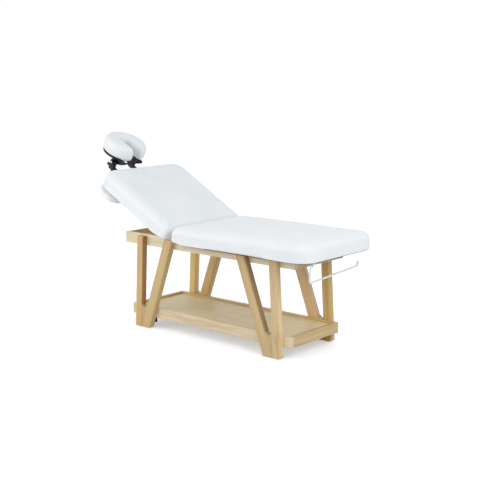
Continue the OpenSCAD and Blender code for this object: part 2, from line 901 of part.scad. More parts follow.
module stay_knob(side) {
    face = -stay_y + stay_t + seat_gap;
    color(black_paint)
        on_floor()
            near_or_far(side) {
                pin_y(stud_x, stud_z, [-rail_inner_y - stud_depth, face + 4], stud_d / 2);
                pin_y(stud_x, stud_z, [face, face + 10], 9);
                difference() {
                    pin_y(stud_x, stud_z, [face + 10, face + 28], knob_d / 2);
                    for (a = [0 : 60 : 300])
                        pin_y(stud_x + cos(a) * knob_d * 0.6, stud_z + sin(a) * knob_d * 0.6,
                            [face + 9, face + 29], knob_d * 0.2);
                }
            }
}

module stay_washers() {
    color(zinc)
        on_floor()
            for (side = [-1, 1])
                near_or_far(side)
                    difference() {
                        pin_y(stud_x, stud_z, [-rail_inner_y, -rail_inner_y + washer_t], 10);
                        pin_y(stud_x, stud_z, [-rail_inner_y - 1, -rail_inner_y + washer_t + 1],
                            stud_d / 2 + bolt_gap);
                    }
}

// Face cradle: a block under the board takes the posts, which carry the tilting platform

module cylinder_l(l, y, h, r) {
    translate([-l[1], y, h])
        rotate([0, 90, 0])
            cylinder(r = r, h = l[1] - l[0]);
}

module cradle_block() {
    color(beech)
        on_back()
            difference() {
                bar_y([-block_end, -block_end + block_l],
                    [-cradle_post_y - block_overhang, cradle_post_y + block_overhang],
                    [back_bottom - block_h, back_bottom], rail_round);
                for (s = [-1, 1])
                    cylinder_l([block_end - block_l - 1, block_end + 1], s * cradle_post_y, post_h,
                        cradle_post_d / 2 + run_gap);
            }
}

// A post and the upright plate on its end share one Y range
cradle_plate_w = 48;
plate_in = cradle_post_y - cradle_post_d / 2;
plate_out = cradle_post_y + cradle_post_d / 2;
post_tail = 48;

module cradle_post(side) {
    post_from = block_end - block_l - 40;
    post_to = cradle_pivot_l + post_tail;
    color(black_paint)
        on_back()
            near_or_far(side)
                difference() {
                    union() {
                        cylinder_l([post_from, post_to], -cradle_post_y, post_h, cradle_post_d / 2);
                        bar_y([-cradle_pivot_l - cradle_plate_w / 2 - 2,
                                -cradle_pivot_l + cradle_plate_w / 2 - 2],
                            [-plate_out, -plate_in],
                            [post_h - cradle_post_d / 2 - 10, cradle_pivot_h + 18], 12);
                    }
                    pin_y(-cradle_pivot_l, cradle_pivot_h, [-plate_out - 1, -plate_in + 1],
                        axle_d / 2 + run_gap);
                }
}

// Steel axle through both plates and both arms, with a round head outside each
module cradle_axle() {
    color(zinc)
        on_back() {
            pin_y(-cradle_pivot_l, cradle_pivot_h, [lever_y - lever_t - 2, plate_out + 2], axle_d / 2);
            pin_y(-cradle_pivot_l, cradle_pivot_h, [lever_y - lever_t - 4, lever_y - lever_t - seat_gap],
                axle_d / 2 + 2.5);
            pin_y(-cradle_pivot_l, cradle_pivot_h, [plate_out + seat_gap, plate_out + 4], axle_d / 2 + 2.5);
        }
}

// Cam lever on the near end of the axle, hanging straight down
lever_y = -plate_out - seat_gap;
lever_t = 14;
lever_tip_r = 12;
lever_turn = 299;

module cradle_lever() {
    color(black_paint)
        on_back()
            translate([-cradle_pivot_l, lever_y, cradle_pivot_h])
                rotate([90, 0, 0])
                    linear_extrude(lever_t)
                        difference() {
                            union() {
                                circle(r = 15);
                                rotate(lever_turn)
                                    translate([0, -lever_tip_r])
                                        square([lever_l - lever_tip_r, 2 * lever_tip_r]);
                                rotate(lever_turn)
                                    translate([lever_l - lever_tip_r, 0])
                                        circle(r = lever_tip_r);
                            }
                            circle(r = axle_d / 2 + run_gap);
                        }
}

platform_top = cradle_rise - cradle_pad_t / 2;
arm_plate_t = 6;
arm_plate_y = plate_in - seat_gap - arm_plate_t;

// Ends of a side arm from the tilt axis, inside the platform's rim
arm_nose = cradle_l / 2 - cradle_reach - 22;
arm_tail = cradle_reach + 32;
crossbar_x = arm_nose - 32;
crossbar_z = 13;

// Side arm under the platform, from its nose at the table end to the platform's middle
module cradle_arm(side) {
    under = platform_top - platform_t;
    color(black_paint)
        on_cradle()
            near_or_far(side)
                translate([0, -arm_plate_y, 0])
                    rotate([90, 0, 0])
                        linear_extrude(arm_plate_t)
                            difference() {
                                union() {
                                    circle(r = 16);
                                    polygon([
                                        [-10, -13], [14, -13],
                                        [crossbar_x - 2, crossbar_z - 9], [arm_nose, crossbar_z + 12],
                                        [arm_nose, under - 4], [arm_nose - 8, under],
                                        [-arm_tail, under], [-arm_tail, under - 11],
                                        [30 - arm_tail, under - 22]
                                    ]);
                                }
                                circle(r = axle_d / 2 + run_gap);
                            }
}

module cradle_crossbar() {
    color(black_paint)
        on_cradle()
            pin_y(crossbar_x, crossbar_z, [-arm_plate_y, arm_plate_y], 6);
}

// Horseshoe points about the middle of the cradle cushion, open towards the table
open_angle = 144;
platform_angle = 132;
function horseshoe(a, b, half, n) =
    [for (i = [0 : n]) let (t = -half + 2 * half * i / n) [-a * cos(t), b * sin(t)]];

module cradle_platform() {
    a = cradle_l / 2 - 10;
    b = cradle_w / 2 - 10;
    rim = horseshoe(a, b, platform_angle, 32);
    hole = horseshoe(a - cradle_pad_w + 20, b - cradle_pad_w + 20, platform_angle, 32);
    color(black_paint)
        on_cradle()
            translate([-cradle_reach, 0, platform_top - platform_t])
                linear_extrude(platform_t - seat_gap)
                    polygon(concat(rim, [for (i = [32 : -1 : 0]) hole[i]]));
}

// Padded tube swept round the horseshoe, with rounded ends
module cradle_cushion() {
    a = cradle_l / 2 - cradle_pad_w / 2;
    b = cradle_w / 2 - cradle_pad_w / 2;
    steps = 26;
    sides = 16;
    body = [for (i = [0 : steps]) [-open_angle + 2 * open_angle * i / steps, 0, 1]];
    first = [for (e = [80, 55, 28]) [-open_angle, -sin(e), cos(e)]];
    last = [for (e = [28, 55, 80]) [open_angle, sin(e), cos(e)]];
    rings = [for (s = concat(first, body, last))
        let (
            t = s[0],
            raw = [a * sin(t), b * cos(t)],
            along = raw / norm(raw),
            out = [-along[1], along[0]],
            at = [-a * cos(t), b * sin(t)] + along * s[1] * cradle_pad_w * 0.42
        )
        [for (k = [0 : sides - 1])
            let (
                q = 360 * k / sides,
                c = cos(q), d = sin(q),
                reach = cradle_pad_w / 2 * sign(c) * pow(abs(c), 0.85) * s[2],
                rise = cradle_pad_t / 2 * sign(d) * pow(abs(d), 0.85) * s[2]
            )
            [at[0] + out[0] * reach, at[1] + out[1] * reach, rise]]];
    tip = [a * sin(open_angle), b * cos(open_angle)];
    push = tip / norm(tip) * cradle_pad_w * 0.43;
    low = [-a * cos(open_angle) + push[0], -b * sin(open_angle) - push[1], 0];
    high = [-a * cos(open_angle) + push[0], b * sin(open_angle) + push[1], 0];
    color(white_hide)
        on_cradle()
            translate([-cradle_reach, 0, cradle_rise])
                capped(rings, low, high);
}

// Arm shelf on runners under the backrest
arm_top = back_bottom - block_h - 4;
arm_crown = 4;
arm_rim = 14;
arm_board_t = 12;
arm_x = [-arm_at - arm_l, -arm_at];
slider_l = 150;
slider_x = [arm_x[0] + 30, arm_x[0] + 30 + slider_l];
runner_low = back_bottom - runner_h;
slider_low = runner_low + runner_wall + seat_gap;

module arm_pad() {
    color(white_hide)
        on_back()
            pad(arm_x, arm_w, [arm_corner_r, arm_corner_r], arm_top - arm_t, arm_t, arm_crown, 20,
                arm_rim, arm_board_t, 2, corner_n, [3, 5], [0, 0, 1, 0]);
}

module arm_board() {
    x = [arm_x[0] + arm_rim + seat_gap, arm_x[1] - arm_rim - seat_gap];
    r = arm_corner_r - arm_rim - seat_gap;
    color(plywood)
        on_back()
            translate([0, 0, arm_top - arm_t])
                linear_extrude(arm_board_t - seat_gap)
                    polygon(outline(x, arm_w - 2 * (arm_rim + seat_gap), [r, r], 0, 0, corner_n, [1, 1]));
}

module arm_runner(side) {
    slot = 8;
    color(zinc)
        on_back()
            near_or_far(side)
                difference() {
                    block([slider_x[0] - 6, slider_x[1] + 8],
                        [-runner_y - runner_w / 2, -runner_y + runner_w / 2], [runner_low, back_bottom]);
                    block([slider_x[0] - 7, slider_x[1] + 4],
                        [-runner_y - runner_w / 2 + runner_wall, -runner_y + runner_w / 2 - runner_wall],
                        [runner_low + runner_wall, back_bottom - runner_wall]);
                    block([slider_x[0] - 7, slider_x[1] + 4], [-runner_y - slot / 2, -runner_y + slot / 2],
                        [runner_low - 1, runner_low + runner_wall + 1]);
                }
}

// T-shaped slider: its head runs in the runner and its foot is screwed down through the pad
module arm_slider(side) {
    head = runner_w / 2 - runner_wall - seat_gap;
    middle = (arm_x[0] + arm_x[1]) / 2;
    foot = arm_top - arm_crown + crown_at([middle, runner_y - 10], arm_x, arm_w, arm_crown) + seat_gap;
    color(zinc)
        on_back()
            near_or_far(side) {
                block(slider_x, [-runner_y - head, -runner_y + head], [slider_low, slider_low + 6]);
                block(slider_x, [-runner_y - 3, -runner_y + 3], [foot, slider_low + 3]);
                block(slider_x, [-runner_y - 10, -runner_y + 10], [foot, foot + 2.4]);
            }
}

// Paper roll holder: the rod hangs by its head in a pocket under the board and swivels

bracket_w = 26;
bracket_h = 18;
bracket_pocket = 7;
rod_head_r = 9;
rod_head_t = 4;
rod_bend = 11;

module at_swivel() {
    on_floor()
        translate([roll_x, -roll_y, rail_top])
            children();
}

module roll_bracket() {
    color(white_paint)
        at_swivel()
            difference() {
                block([-bracket_w / 2, bracket_w / 2], [-bracket_w / 2, bracket_w / 2], [-bracket_h, 0]);
                translate([0, 0, -bracket_h - 1])
                    cylinder(r = rod_d / 2 + run_gap, h = bracket_h + 2);
                translate([0, 0, -bracket_pocket])
                    cylinder(r = rod_head_r + seat_gap, h = bracket_pocket + 1);
            }
}

// Quarter bend in the YZ plane from one axis to the next
module rod_elbow(y, z, turn) {
    translate([0, y, z])
        rotate([0, 90, 0])
            rotate([0, 0, turn])
                rotate_extrude(angle = 90)
                    translate([rod_bend, 0])
                        circle(d = rod_d);
}

module roll_rod() {
    r = rod_d / 2;
    stub_z = -bracket_h - 4 - rod_bend;
    bar_z = stub_z - rod_leg_h;
    head_z = seat_gap - bracket_pocket;
    color(white_paint)
        at_swivel()
            rotate([0, 0, rod_swing]) {
                translate([0, 0, stub_z + rod_bend])
                    cylinder(r = r, h = head_z + 1 - stub_z - rod_bend);
                translate([0, 0, head_z])
                    cylinder(r = rod_head_r, h = rod_head_t);
                rod_elbow(-rod_bend, stub_z + rod_bend, 0);
                pin_y(0, stub_z, [-rod_stub + rod_bend, -rod_bend], r);
                rod_elbow(-rod_stub + rod_bend, stub_z - rod_bend, 180);
                translate([0, -rod_stub, bar_z + rod_bend])
                    cylinder(r = r, h = rod_leg_h - 2 * rod_bend);
                rod_elbow(-rod_stub + rod_bend, bar_z + rod_bend, 270);
                pin_y(0, bar_z, [-rod_stub + rod_bend, -rod_stub + rod_bar - rod_bend], r);
                rod_elbow(-rod_stub + rod_bar - rod_bend, bar_z + rod_bend, 0);
                translate([0, -rod_stub + rod_bar, bar_z + rod_bend])
                    cylinder(r = r, h = rod_upturn - rod_bend);
            }
}

side_rail(-1);  // side_rail_near
side_rail(1);  // side_rail_far
head_rail();
foot_rail();
hinge_rail();
middle_rail();
post(-1, -1);  // post_head_near
strut(-1, -1);  // strut_head_near
post(-1, 1);  // post_head_far
strut(-1, 1);  // strut_head_far
post(1, -1);  // post_foot_near
strut(1, -1);  // strut_foot_near
post(1, 1);  // post_foot_far
strut(1, 1);  // strut_foot_far
leg_webs();
foot_glides();
shelf_side_rail(-1);  // shelf_rail_near
shelf_side_rail(1);  // shelf_rail_far
shelf_end_rail(-shelf_head);  // shelf_rail_head
shelf_end_rail(shelf_foot - rail_t);  // shelf_rail_foot
shelf_panel();
shelf_cleats();
shelf_brackets();
frame_bolts();
leg_board();
leg_cushion();
hinge_leaves_fixed();
hinge_leaves_moving();
hinge_pins();
back_board();
back_cushion();
face_plug_base();
face_plug_cushion();
stay(-1);  // stay_near
stay(1);  // stay_far
stay_knob(-1);  // stay_knob_near
stay_knob(1);  // stay_knob_far
stay_washers();
cradle_block();
cradle_post(-1);  // cradle_post_near
cradle_post(1);  // cradle_post_far
cradle_crossbar();
cradle_axle();
cradle_lever();
cradle_arm(-1);  // cradle_arm_near
cradle_arm(1);  // cradle_arm_far
cradle_platform();
cradle_cushion();
arm_runner(-1);  // arm_runner_near
arm_runner(1);  // arm_runner_far
arm_slider(-1);  // arm_slider_near
arm_slider(1);  // arm_slider_far
arm_board();
arm_pad();
roll_bracket();
roll_rod();
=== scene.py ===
import math
from collections import namedtuple

import bmesh
import bpy
from mathutils import Matrix, Vector


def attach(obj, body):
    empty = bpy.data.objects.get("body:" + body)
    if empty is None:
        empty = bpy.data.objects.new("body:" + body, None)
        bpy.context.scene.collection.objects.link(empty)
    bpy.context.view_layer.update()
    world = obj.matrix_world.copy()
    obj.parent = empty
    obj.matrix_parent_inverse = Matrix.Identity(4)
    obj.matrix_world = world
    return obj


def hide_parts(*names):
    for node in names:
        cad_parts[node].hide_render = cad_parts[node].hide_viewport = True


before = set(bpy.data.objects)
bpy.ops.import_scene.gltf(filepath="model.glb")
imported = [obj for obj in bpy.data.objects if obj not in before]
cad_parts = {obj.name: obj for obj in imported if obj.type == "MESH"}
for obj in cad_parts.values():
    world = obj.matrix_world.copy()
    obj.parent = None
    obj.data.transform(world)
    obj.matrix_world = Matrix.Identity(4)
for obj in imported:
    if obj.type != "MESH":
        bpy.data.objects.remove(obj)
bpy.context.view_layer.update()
scene = bpy.context.scene

# Sizes are in metres. The leg frame is drawn round its own middle, which lies SHIFT along X from the
# origin, because the origin is under the middle of the whole table.
SHIFT = 0.1270886
RAIL_TOP = 0.620
HINGE_X = -0.257
HINGE_Z = 0.6133
HINGE = Vector((HINGE_X + SHIFT, 0.0, HINGE_Z))
BACK_ANGLE = math.radians(29)
# From the hinge, along the raised backrest and off it
CRADLE_PIVOT = (-0.866, 0.0, 0.028)
CRADLE_DROP = math.radians(3.5)

TABLE_PLACE = Matrix.Translation((SHIFT, 0.0, 0.0))
BACK_PLACE = Matrix.Translation(HINGE) @ Matrix.Rotation(BACK_ANGLE, 4, "Y")
CRADLE_PLACE = BACK_PLACE @ Matrix.Translation(CRADLE_PIVOT) @ Matrix.Rotation(-CRADLE_DROP, 4, "Y")


# Camera, studio light and floor

CAMERA_AT = (4.320181, -4.680438, 1.731926)
CAMERA_YAW = math.radians(41.36565)
CAMERA_DOWN = math.radians(10.11184)
CAMERA_ROLL = math.radians(-0.2673)

AIR = (0.95, 0.975, 1.0, 1.0)
AIR_STRENGTH = 0.78
FLOOR_SIZE = 10.0
# What the floor throws back at the table, and what the eye sees of it: a shade that takes the shadow, and
# a glow that is added
FLOOR_BOUNCE = (0.66, 0.66, 0.67, 1.0)
FLOOR_SEEN = (0.84, 0.87, 0.92, 1.0)
FLOOR_GLOW = 0.40


def place_camera():
    bpy.ops.object.camera_add()
    camera = bpy.context.object
    camera.name = "camera"
    camera.matrix_world = (
        Matrix.Translation(CAMERA_AT)
        @ Matrix.Rotation(CAMERA_YAW, 4, "Z")
        @ Matrix.Rotation(math.pi / 2 - CAMERA_DOWN, 4, "X")
        @ Matrix.Rotation(CAMERA_ROLL, 4, "Z")
    )
    camera.data.lens = 75.027
    camera.data.sensor_width = 36.0
    camera.data.clip_start = 0.05
    camera.data.clip_end = 200.0
    scene.camera = camera


def soft_lamp(name, at, towards, size, power, colour):
    bpy.ops.object.light_add(type="AREA", location=at)
    lamp = bpy.context.object
    lamp.name = name
    lamp.data.shape = "RECTANGLE"
    lamp.data.size, lamp.data.size_y = size
    lamp.data.energy = power
    lamp.data.color = colour
    lamp.rotation_euler = (Vector(towards) - Vector(at)).to_track_quat("-Z", "Y").to_euler()


def seen_directly(tree):
    """1 for what the camera, a gloss or a clear surface sees, 0 for the light that falls on the object."""
    path = tree.nodes.new("ShaderNodeLightPath")
    first = tree.nodes.new("ShaderNodeMath")
    first.operation = "MAXIMUM"
    second = tree.nodes.new("ShaderNodeMath")
    second.operation = "MAXIMUM"
    tree.links.new(path.outputs["Is Camera Ray"], first.inputs[0])
    tree.links.new(path.outputs["Is Glossy Ray"], first.inputs[1])
    tree.links.new(first.outputs[0], second.inputs[0])
    tree.links.new(path.outputs["Is Transmission Ray"], second.inputs[1])
    return second.outputs[0]


def studio():
    """Pale air all round that looks white, a large lamp from the near side and one from the foot end."""
    world = bpy.data.worlds.new("studio")
    scene.world = world
    world.use_nodes = True
    tree = world.node_tree
    tree.nodes.clear()
    out = tree.nodes.new("ShaderNodeOutputWorld")
    mix = tree.nodes.new("ShaderNodeMixShader")
    air = tree.nodes.new("ShaderNodeBackground")
    air.inputs["Color"].default_value = AIR
    air.inputs["Strength"].default_value = AIR_STRENGTH
    white = tree.nodes.new("ShaderNodeBackground")
    white.inputs["Color"].default_value = (1.0, 1.0, 1.0, 1.0)
    white.inputs["Strength"].default_value = 1.0
    tree.links.new(seen_directly(tree), mix.inputs[0])
    tree.links.new(air.outputs[0], mix.inputs[1])
    tree.links.new(white.outputs[0], mix.inputs[2])
    tree.links.new(mix.outputs[0], out.inputs["Surface"])
    soft_lamp(
        "key_lamp", at=(-2.4, -3.8, 1.9), towards=(0.0, 0.0, 0.6),
        size=(3.2, 2.2), power=59.0, colour=(1.0, 0.985, 0.96),
    )
    soft_lamp(
        "side_lamp", at=(4.1, -1.1, 2.9), towards=(0.6, 0.0, 0.7),
        size=(2.4, 2.0), power=57.0, colour=(1.0, 0.99, 0.97),
    )


def floor():
    """White to the eye, but it keeps a soft shadow and throws back light as a pale floor does."""
    bpy.ops.mesh.primitive_plane_add(size=FLOOR_SIZE)
    ground = bpy.context.object
    ground.name = "studio_floor"
    material = bpy.data.materials.new("pale_floor")
    material.use_nodes = True
    tree = material.node_tree
    tree.nodes.clear()
    out = tree.nodes.new("ShaderNodeOutputMaterial")
    bounce = tree.nodes.new("ShaderNodeBsdfDiffuse")
    bounce.inputs["Color"].default_value = FLOOR_BOUNCE
    shadow = tree.nodes.new("ShaderNodeBsdfDiffuse")
    shadow.inputs["Color"].default_value = FLOOR_SEEN
    white = tree.nodes.new("ShaderNodeEmission")
    white.inputs["Strength"].default_value = FLOOR_GLOW
    seen = tree.nodes.new("ShaderNodeAddShader")
    mix = tree.nodes.new("ShaderNodeMixShader")
    tree.links.new(white.outputs[0], seen.inputs[0])
    tree.links.new(shadow.outputs[0], seen.inputs[1])
    tree.links.new(seen_directly(tree), mix.inputs[0])
    tree.links.new(bounce.outputs[0], mix.inputs[1])
    tree.links.new(seen.outputs[0], mix.inputs[2])
    tree.links.new(mix.outputs[0], out.inputs["Surface"])
    ground.data.materials.append(material)


# Finishes


class Finish:
    """A material with one shader, whose sockets take numbers or what other nodes give."""

    def __init__(self, name):
        self.material = bpy.data.materials.new(name)
        self.material.use_nodes = True
        self.tree = self.material.node_tree
        self.shader = self.tree.nodes["Principled BSDF"]

    def node(self, kind, **settings):
        made = self.tree.nodes.new(kind)
        for key, value in settings.items():
            setattr(made, key, value)
        return made

    def join(self, source, target):
        self.tree.links.new(source, target)

    def set(self, **values):
        for key, value in values.items():
            self.shader.inputs[key.replace("_", " ")].default_value = value

    def place(self, turn=(0.0, 0.0, 0.0), stretch=(1.0, 1.0, 1.0), move=(0.0, 0.0, 0.0)):
        """Object coordinates, turned so that the grain lies along X and then stretched."""
        spot = self.node("ShaderNodeTexCoord")
        turned = self.node("ShaderNodeMapping")
        turned.inputs["Rotation"].default_value = turn
        turned.inputs["Location"].default_value = move
        scaled = self.node("ShaderNodeMapping")
        scaled.inputs["Scale"].default_value = stretch
        self.join(spot.outputs["Object"], turned.inputs["Vector"])
        self.join(turned.outputs[0], scaled.inputs["Vector"])
        return scaled.outputs[0]

    def noise(self, where, scale=1.0, detail=3.0, rough=0.55):
        made = self.node("ShaderNodeTexNoise")
        made.inputs["Scale"].default_value = scale
        made.inputs["Detail"].default_value = detail
        made.inputs["Roughness"].default_value = rough
        self.join(where, made.inputs["Vector"])
        return made.outputs["Fac"]

    def cells(self, where, scale, feature="F1"):
        made = self.node("ShaderNodeTexVoronoi", feature=feature)
        made.inputs["Scale"].default_value = scale
        self.join(where, made.inputs["Vector"])
        return made.outputs["Distance"]

    def ramp(self, value, *stops):
        made = self.node("ShaderNodeValToRGB")
        band = made.color_ramp
        while len(band.elements) < len(stops):
            band.elements.new(0.5)
        for element, (at, colour) in zip(band.elements, stops):
            element.position = at
            element.color = (*colour, 1.0)
        self.join(value, made.inputs["Fac"])
        return made.outputs["Color"]

    def spread(self, value, to, of=(0.0, 1.0)):
        """Spreads one range of a value over another, and stops at its ends."""
        made = self.node("ShaderNodeMapRange")
        for key, number in zip(("From Min", "From Max", "To Min", "To Max"), (*of, *to)):
            made.inputs[key].default_value = number
        self.join(value, made.inputs["Value"])
        return made.outputs["Result"]

    def calc(self, operation, first, second=None):
        made = self.node("ShaderNodeMath", operation=operation)
        for slot, value in ((0, first), (1, second)):
            if value is None:
                continue
            if isinstance(value, (int, float)):
                made.inputs[slot].default_value = value
            else:
                self.join(value, made.inputs[slot])
        return made.outputs[0]

    def blend(self, share, under, over, mode="MIX"):
        """Lays one colour over another. A Mix node takes colours in sockets 6 and 7, and gives one in 2."""
        made = self.node("ShaderNodeMix", data_type="RGBA", blend_type=mode)
        for slot, value in ((0, share), (6, under), (7, over)):
            if isinstance(value, tuple):
                made.inputs[slot].default_value = (*value, 1.0)
            else:
                self.join(value, made.inputs[slot])
        return made.outputs[2]

    def bump(self, *layers):
        """Bumps one over another: each layer is (height, strength, depth in metres)."""
        normal = None
        for height, strength, depth in layers:
            made = self.node("ShaderNodeBump")
            made.inputs["Strength"].default_value = strength
            made.inputs["Distance"].default_value = depth
            self.join(height, made.inputs["Height"])
            if normal is not None:
                self.join(normal, made.inputs["Normal"])
            normal = made.outputs[0]
        self.join(normal, self.shader.inputs["Normal"])

    def colour(self, value):
        self.join(value, self.shader.inputs["Base Color"])

    def roughness(self, value):
        self.join(value, self.shader.inputs["Roughness"])


# The wood's own colours, from its pale early wood to its dark pores
WOOD_SHADES = (
    (0.800, 0.635, 0.370), (0.725, 0.545, 0.290), (0.600, 0.415, 0.190), (0.410, 0.240, 0.090),
)
HIDE_SHADES = ((0.800, 0.826, 0.842), (0.846, 0.866, 0.877))
# Painted shade: the darker colour of the crevices between the pebbles of the grain
HIDE_PAINTED_CREASE_SHADE = (0.700, 0.735, 0.765)
PLY_THICK = 0.0030
PLY_WOBBLE = 0.0006


def lacquered_wood(name, turn, move, tone_and_painted_shade, painted_foot_side_light=None):
    """Light solid wood under satin lacquer, whose grain runs along X once turned.

    The last argument is painted shade and light on the side that faces the foot end.
    """
    pale, light, mid, deep = (
        tuple(part * share for part, share in zip(shade, tone_and_painted_shade)) for shade in WOOD_SHADES
    )
    wood = Finish(name)

    def grain(along, across):
        return wood.place(turn, (along, across, across), move)

    # Growth rings cut lengthwise: long flames that wander a little
    ring_count = 10.0
    sway = wood.noise(grain(0.50, 6.5), scale=1.6, detail=2.0, rough=0.5)
    rings = wood.calc("PINGPONG", wood.calc("MULTIPLY", sway, ring_count), 0.5)
    figure = wood.ramp(rings, (0.0, deep), (0.14, mid), (0.50, light), (1.0, pale))
    drift = wood.noise(grain(0.8, 3.4), scale=2.2, detail=2.0)
    base = wood.blend(wood.spread(drift, of=(0.32, 0.68), to=(0.10, 0.90)), light, figure)
    # Broad warm streaks, as in boards that were glued up from several staves
    stave = wood.noise(grain(0.35, 19.0), detail=1.0, rough=0.4)
    base = wood.blend(wood.spread(stave, of=(0.50, 0.68), to=(0.0, 0.75)), base, mid)
    # Fine fibres, and the short dark dashes of the pores
    fibre = wood.noise(grain(9.0, 420.0), detail=4.0, rough=0.65)
    base = wood.blend(wood.spread(fibre, of=(0.38, 0.75), to=(0.0, 0.62)), base, mid)
    dash = wood.noise(grain(55.0, 620.0), detail=1.0, rough=0.4)
    base = wood.blend(wood.spread(dash, of=(0.62, 0.76), to=(0.0, 0.62)), base, deep)
    # Painted shade and light on the side that faces the foot end, found by the way the surface faces
    if painted_foot_side_light:
        facing = wood.node("ShaderNodeSeparateXYZ")
        wood.join(wood.node("ShaderNodeTexCoord").outputs["Normal"], facing.inputs[0])
        painted_side_mask = wood.spread(facing.outputs[0], of=(0.25, 0.80), to=(0.0, 1.0))
        base = wood.blend(painted_side_mask, base, painted_foot_side_light, "MULTIPLY")
    wood.colour(base)
    wood.roughness(wood.spread(fibre, to=(0.38, 0.52)))
    wood.set(Coat_Weight=0.25, Coat_Roughness=0.25, Specular_IOR_Level=0.42)
    wood.bump((fibre, 0.28, 0.0004), (dash, 0.20, 0.0003))
    return wood.material


def shelf_veneer(name):
    """Greyer panel, sliced veneer with long grain along X."""
    wood = Finish(name)
    ring_count = 11.0
    long_waves = wood.place(stretch=(0.42, 6.0, 6.0), move=(0.3, 0.1, 0.0))
    flow = wood.noise(long_waves, scale=1.9, detail=3.0, rough=0.5)
    rings = wood.calc("PINGPONG", wood.calc("FRACT", wood.calc("MULTIPLY", flow, ring_count)), 0.5)
    figure = wood.ramp(
        rings, (0.0, (0.74, 0.61, 0.350)), (0.2, (0.81, 0.69, 0.420)), (0.5, (0.85, 0.74, 0.470)),
    )
    fibre = wood.noise(wood.place(stretch=(7.0, 520.0, 520.0)), detail=4.0, rough=0.6)
    streak = wood.spread(fibre, of=(0.35, 0.75), to=(0.0, 0.5))
    wood.colour(wood.blend(streak, figure, (0.76, 0.64, 0.380)))
    wood.roughness(wood.spread(fibre, to=(0.42, 0.56)))
    wood.set(Coat_Weight=0.18, Coat_Roughness=0.34, Specular_IOR_Level=0.40)
    wood.bump((fibre, 0.22, 0.0003))
    return wood.material


def plywood(name, turn=(0.0, 0.0, 0.0)):
    """Birch plywood: thin plies one over another along Z once turned."""
    ply = Finish(name)
    split = ply.node("ShaderNodeSeparateXYZ")
    ply.join(ply.place(turn), split.inputs[0])
    wobble = ply.noise(ply.place(turn, (14.0, 14.0, 14.0)), detail=2.0)
    height = ply.calc("ADD", split.outputs[2], ply.calc("MULTIPLY", wobble, PLY_WOBBLE))
    layer = ply.calc("FRACT", ply.calc("DIVIDE", height, PLY_THICK))
    band = ply.ramp(
        layer, (0.0, (0.30, 0.19, 0.10)), (0.06, (0.62, 0.47, 0.29)), (0.48, (0.66, 0.51, 0.32)),
        (0.52, (0.42, 0.28, 0.15)), (0.94, (0.47, 0.32, 0.18)), (1.0, (0.30, 0.19, 0.10)),
    )
    fibre = ply.noise(ply.place(turn, (260.0, 9.0, 260.0)), detail=4.0, rough=0.6)
    streak = ply.spread(fibre, of=(0.35, 0.75), to=(0.0, 0.5))
    ply.colour(ply.blend(streak, band, (0.50, 0.35, 0.19)))
    ply.roughness(ply.spread(fibre, to=(0.62, 0.80)))
    ply.set(Specular_IOR_Level=0.30)
    ply.bump((fibre, 0.30, 0.0004))
    return ply.material


def white_hide(name, painted_light_lift=1.0):
    """Smooth cool-white artificial leather with a fine pebble grain."""
    hide = Finish(name)
    where = hide.place()
    pebble = hide.cells(where, 820.0, "DISTANCE_TO_EDGE")
    pores = hide.noise(where, scale=1500.0, detail=2.0, rough=0.6)
    cloud = hide.noise(where, scale=5.0, detail=3.0, rough=0.5)
    # The lift is painted light: it makes the hide paler, for a pad that lies in shade
    dull, bright = (tuple(part * painted_light_lift for part in shade) for shade in HIDE_SHADES)
    clean = hide.ramp(cloud, (0.30, dull), (0.70, bright))
    # Painted shade darkens the crevices between the pebbles of the grain
    painted_crease_shade = hide.spread(pebble, of=(0.0, 0.16), to=(0.16, 0.0))
    hide.colour(hide.blend(painted_crease_shade, clean, HIDE_PAINTED_CREASE_SHADE))
    worn = hide.spread(cloud, of=(0.3, 0.7), to=(0.38, 0.48))
    hide.roughness(hide.calc("ADD", worn, hide.spread(pores, to=(-0.03, 0.04))))
    hide.set(Specular_IOR_Level=0.46, Sheen_Weight=0.06, Sheen_Roughness=0.4)
    crease = hide.spread(pebble, of=(0.02, 0.22), to=(0.0, 1.0))
    hide.bump((cloud, 0.10, 0.004), (crease, 0.32, 0.00022), (pores, 0.12, 0.00012))
    return hide.material


def black_coat(name, rough=0.46, speck=1100.0):
    """Matt black powder coat or moulded plastic with its fine orange peel."""
    coat = Finish(name)
    where = coat.place()
    peel = coat.noise(where, scale=speck, detail=2.0, rough=0.5)
    dust = coat.noise(where, scale=38.0, detail=3.0, rough=0.6)
    coat.colour(coat.ramp(dust, (0.35, (0.0060, 0.0060, 0.0070)), (0.75, (0.012, 0.012, 0.014))))
    worn = coat.spread(dust, of=(0.3, 0.7), to=(rough - 0.05, rough + 0.09))
    coat.roughness(coat.calc("ADD", worn, coat.spread(peel, to=(-0.03, 0.03))))
    coat.set(Specular_IOR_Level=0.30)
    coat.bump((peel, 0.35, 0.00018))
    return coat.material


def painted_shadow_cloth(name):
    """Dark woven tape, laid as a painted shadow line."""
    tape = Finish(name)
    weave = tape.noise(tape.place(), scale=900.0, detail=2.0, rough=0.5)
    tape.colour(tape.ramp(weave, (0.3, (0.050, 0.044, 0.038)), (0.7, (0.095, 0.085, 0.075))))
    tape.roughness(tape.spread(weave, to=(0.75, 0.95)))
    tape.set(Specular_IOR_Level=0.2)
    tape.bump((weave, 0.3, 0.0002))
    return tape.material


def white_paint(name, rough=0.34):
    """White paint, white facing or white moulded plastic, faintly clouded."""
    paint = Finish(name)
    where = paint.place()
    peel = paint.noise(where, scale=640.0, detail=2.0, rough=0.5)
    cloud = paint.noise(where, scale=22.0, detail=3.0, rough=0.6)
    paint.colour(paint.ramp(cloud, (0.3, (0.760, 0.770, 0.775)), (0.75, (0.835, 0.842, 0.845))))
    paint.roughness(paint.spread(cloud, of=(0.3, 0.7), to=(rough - 0.05, rough + 0.10)))
    paint.set(Specular_IOR_Level=0.5, Coat_Weight=0.10, Coat_Roughness=0.2)
    paint.bump((peel, 0.20, 0.00015))
    return paint.material


